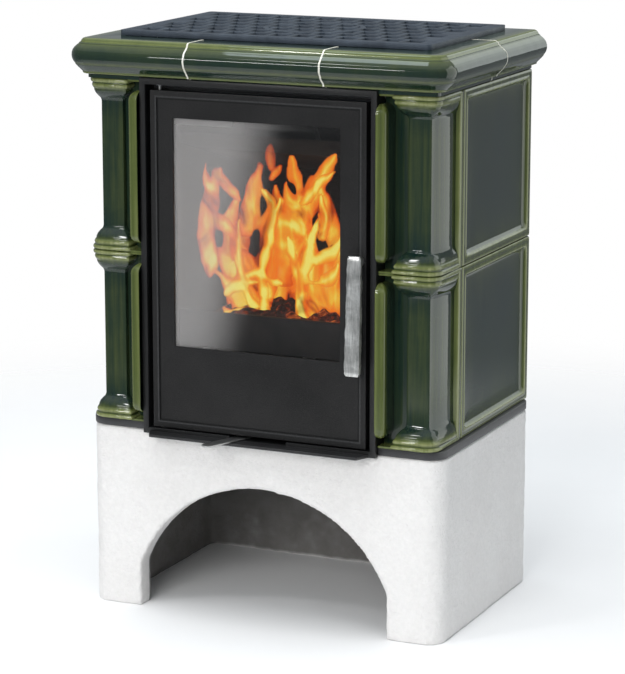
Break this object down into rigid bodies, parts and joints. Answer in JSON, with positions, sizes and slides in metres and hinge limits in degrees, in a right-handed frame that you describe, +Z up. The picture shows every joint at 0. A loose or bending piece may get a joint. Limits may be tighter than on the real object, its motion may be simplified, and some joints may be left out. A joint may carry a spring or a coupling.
{
  "type": "tiled stove",
  "caption": "Wood stove with moulded green glazed tiles, black glazed door, cast grille on top, flue spigot at the back and a white plinth with an arched log store.",
  "frame": {"origin": "on the floor, at the middle of the footprint from the air lever's tip to the end of the flue spigot", "axes": "+X to the right seen from the door, +Y from the door to the flue spigot, +Z up"},
  "size_m": [0.6744, 0.553, 0.966],
  "materials": {
    "air_lever": "dark steel",
    "air_pivot": "steel",
    "air_valve": "steel",
    "ash_lip": "black heat-proof paint",
    "ash_pan": "bare steel sheet",
    "baffle": "fireclay",
    "base_tray": "dark grey steel",
    "clip_screws": "steel",
    "corner_tile_high_left": "bottle-green glaze",
    "corner_tile_high_right": "bottle-green glaze",
    "corner_tile_low_left": "bottle-green glaze",
    "corner_tile_low_right": "bottle-green glaze",
    "cornice_corner_left": "bottle-green glaze",
    "cornice_corner_right": "bottle-green glaze",
    "cornice_front": "bottle-green glaze",
    "cornice_grout": "white pointing",
    "cornice_rear": "bottle-green glaze",
    "cornice_side_left": "bottle-green glaze",
    "cornice_side_right": "bottle-green glaze",
    "door_glass": "heat-proof glass",
    "door_leaf": "black heat-proof paint",
    "door_seal": "glass-fibre rope",
    "firebox_floor": "black heat-proof paint",
    "firebox_front": "black heat-proof paint",
    "firebox_rear": "black heat-proof paint",
    "firebox_shelf": "black heat-proof paint",
    "firebox_side_left": "black heat-proof paint",
    "firebox_side_right": "black heat-proof paint",
    "firebox_top": "black heat-proof paint",
    "flue_collar": "black heat-proof paint",
    "flue_cover": "black heat-proof paint",
    "front_frame": "black heat-proof paint",
    "glass_clips": "steel",
    "glass_seal": "glass-fibre tape",
    "grate": "cast iron",
    "grille": "blue-black cast iron",
    "handle": "forged bright steel",
    "handle_spindle": "steel",
    "hinge_pins": "steel",
    "keeper_screws": "steel",
    "latch_cam": "steel",
    "latch_keeper": "steel",
    "lining_floor": "fireclay",
    "lining_rear": "fireclay",
    "lining_side_left": "fireclay",
    "lining_side_right": "fireclay",
    "log_guard": "cast iron",
    "plinth": "painted plaster",
    "rear_panel": "black sheet steel",
    "rear_screws": "steel",
    "side_tile_high_left": "bottle-green glaze",
    "side_tile_high_right": "bottle-green glaze",
    "side_tile_low_left": "bottle-green glaze",
    "side_tile_low_right": "bottle-green glaze",
    "tile_posts": "black steel"
  },
  "bodies": {
    "stove": {"air_pivot": "air_pivot", "ash_lip": "ash_lip", "ash_pan": "ash_pan", "baffle": "baffle", "base_tray": "base_tray", "corner_tile_high_left": "corner_tile_high_left", "corner_tile_high_right": "corner_tile_high_right", "corner_tile_low_left": "corner_tile_low_left", "corner_tile_low_right": "corner_tile_low_right", "cornice_corner_left": "cornice_corner_left", "cornice_corner_right": "cornice_corner_right", "cornice_front": "cornice_front", "cornice_grout": "cornice_grout", "cornice_rear": "cornice_rear", "cornice_side_left": "cornice_side_left", "cornice_side_right": "cornice_side_right", "firebox_floor": "firebox_floor", "firebox_front": "firebox_front", "firebox_rear": "firebox_rear", "firebox_shelf": "firebox_shelf", "firebox_side_left": "firebox_side_left", "firebox_side_right": "firebox_side_right", "firebox_top": "firebox_top", "flue_collar": "flue_collar", "flue_cover": "flue_cover", "front_frame": "front_frame", "grate": "grate", "grille": "grille", "hinge_pins": "hinge_pins", "keeper_screws": "keeper_screws", "latch_keeper": "latch_keeper", "lining_floor": "lining_floor", "lining_rear": "lining_rear", "lining_side_left": "lining_side_left", "lining_side_right": "lining_side_right", "log_guard": "log_guard", "plinth": "plinth", "rear_panel": "rear_panel", "rear_screws": "rear_screws", "side_tile_high_left": "side_tile_high_left", "side_tile_high_right": "side_tile_high_right", "side_tile_low_left": "side_tile_low_left", "side_tile_low_right": "side_tile_low_right", "tile_posts": "tile_posts"},
    "door": {"door_leaf": "door_leaf", "door_glass": "door_glass", "glass_seal": "glass_seal", "glass_clips": "glass_clips", "clip_screws": "clip_screws", "door_seal": "door_seal"},
    "handle": {"handle": "handle", "handle_spindle": "handle_spindle", "latch_cam": "latch_cam"},
    "air_control": {"air_lever": "air_lever", "air_valve": "air_valve"}
  },
  "joints": [
    {"name": "door_hinge", "type": "hinge", "parent": "stove", "child": "door", "pos_m": [-0.179, -0.19247, 0.6], "axis": [0, 0, -1], "range_deg": [0, 105]},
    {"name": "handle_turn", "type": "hinge", "parent": "door", "child": "handle", "pos_m": [0.18, -0.20647, 0.625], "axis": [0, -1, 0], "range_deg": [0, 60]},
    {"name": "air_lever_swing", "type": "hinge", "parent": "stove", "child": "air_control", "pos_m": [0, -0.11447, 0.3128], "axis": [0, 0, 1], "range_deg": [0, 44]}
  ]
}
